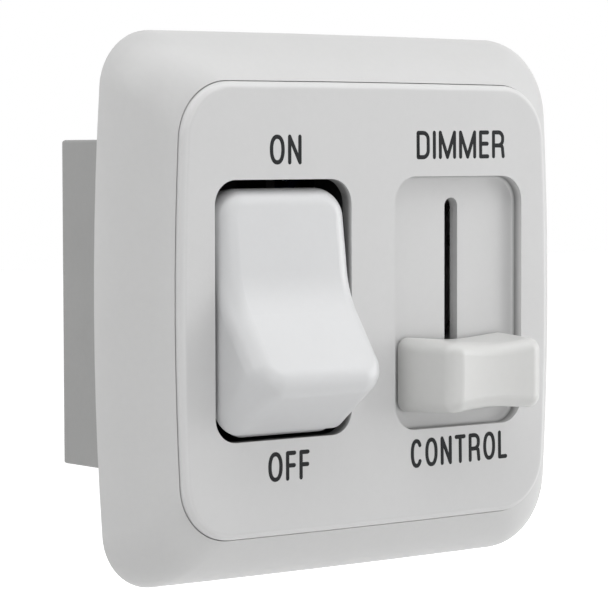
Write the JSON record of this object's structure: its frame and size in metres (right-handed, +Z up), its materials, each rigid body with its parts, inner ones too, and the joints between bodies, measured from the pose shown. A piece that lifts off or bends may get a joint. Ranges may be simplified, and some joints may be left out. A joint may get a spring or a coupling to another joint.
{
  "type": "wall dimmer switch",
  "caption": "Square wall plate with a rocker on/off switch, a slide dimmer knob in a recess, a removable trim and a rear box holding the switch, slide control and circuit board.",
  "frame": {"origin": "centre of the four wall screw holes, on the wall plane", "axes": "+Z up, the front faces -Y, +X is to the right as seen from the front; drawn switched on, with the rocker's top pressed in and the slide knob at the bottom of its travel"},
  "size_m": [0.0642, 0.0373, 0.0614],
  "materials": {
    "trim_plastic": "light grey, satin",
    "panel_plastic": "light grey, fine satin",
    "rocker_plastic": "light grey, satin",
    "knob_plastic": "light grey, satin",
    "housing_plastic": "mid grey, fine matt",
    "acetal": "natural white",
    "case_plastic": "black",
    "carriage_plastic": "black",
    "epoxy": "black moulded",
    "spring_steel": "drawn wire",
    "zinc_steel": "bright zinc",
    "tinned_steel": "tinned",
    "tinned_leads": "tinned",
    "contact_silver": "silver",
    "contact_copper": "copper alloy",
    "terminal_brass": "brass",
    "brush_bronze": "spring bronze",
    "rubber_grommet": "black",
    "phenolic": "dark laminate",
    "carbon_film": "carbon ink",
    "board_laminate": "green solder mask",
    "sink_aluminium": "plain sheet",
    "capacitor_sleeve": "dark blue sleeve",
    "resistor_body": "beige",
    "ceramic_body": "ochre"
  },
  "bodies": {
    "base": {"face_panel": "panel_plastic", "switch_case": "case_plastic", "middle_terminal": "terminal_brass", "fixed_contact": "contact_silver", "load_terminal": "terminal_brass", "rear_housing": "housing_plastic", "housing_screws": "zinc_steel", "wire_grommet": "rubber_grommet", "pot_frame": "tinned_steel", "pot_screws": "zinc_steel", "pot_base": "phenolic", "resistive_tracks": "carbon_film", "pot_terminals": "tinned_leads", "circuit_board": "board_laminate", "board_screws": "zinc_steel", "transistor_body": "epoxy", "transistor_tab": "tinned_steel", "transistor_leads": "tinned_leads", "heat_sink": "sink_aluminium", "sink_screw": "zinc_steel", "sink_nut": "zinc_steel", "capacitor_can": "capacitor_sleeve", "timer_chip": "epoxy", "timer_pins": "tinned_leads", "resistors": "resistor_body", "resistor_leads": "tinned_leads", "ceramic_capacitors": "ceramic_body", "ceramic_leads": "tinned_leads", "diode": "epoxy", "diode_leads": "tinned_leads"},
    "trim": {"trim_bezel": "trim_plastic"},
    "rocker": {"rocker": "rocker_plastic", "plunger_spring": "spring_steel"},
    "plunger": {"plunger": "acetal"},
    "contact": {"contact_arm": "contact_copper", "moving_contact": "contact_silver"},
    "slider": {"slider_knob": "knob_plastic", "wiper_carriage": "carriage_plastic", "wiper_brush": "brush_bronze"}
  },
  "joints": [
    {"name": "rocker_tilt", "type": "hinge", "parent": "base", "child": "rocker", "pos_m": [-0.0128, -0.0055, 0], "axis": [1, 0, 0], "range_deg": [0, 42]},
    {"name": "contact_rock", "type": "hinge", "parent": "base", "child": "contact", "pos_m": [-0.0128, 0.00475, 0], "axis": [1, 0, 0], "range_deg": [-18.01, 0]},
    {"name": "plunger_slide", "type": "slide", "parent": "rocker", "child": "plunger", "axis": [0, -0.9336, 0.3584], "range_m": [0, 0.0008], "stiffness_N_per_m": 150, "springref_m": -0.002, "deforming": ["plunger_spring"]},
    {"name": "slider_travel", "type": "slide", "parent": "base", "child": "slider", "axis": [0, 0, 1], "range_m": [0, 0.0164]},
    {"name": "trim_pull_off", "type": "slide", "parent": "base", "child": "trim", "axis": [0, -1, 0], "range_m": [0, 0.012]}
  ],
  "couplings": [
    {"joint": "contact_rock", "follows": "rocker_tilt", "ratio": -0.42857}
  ]
}
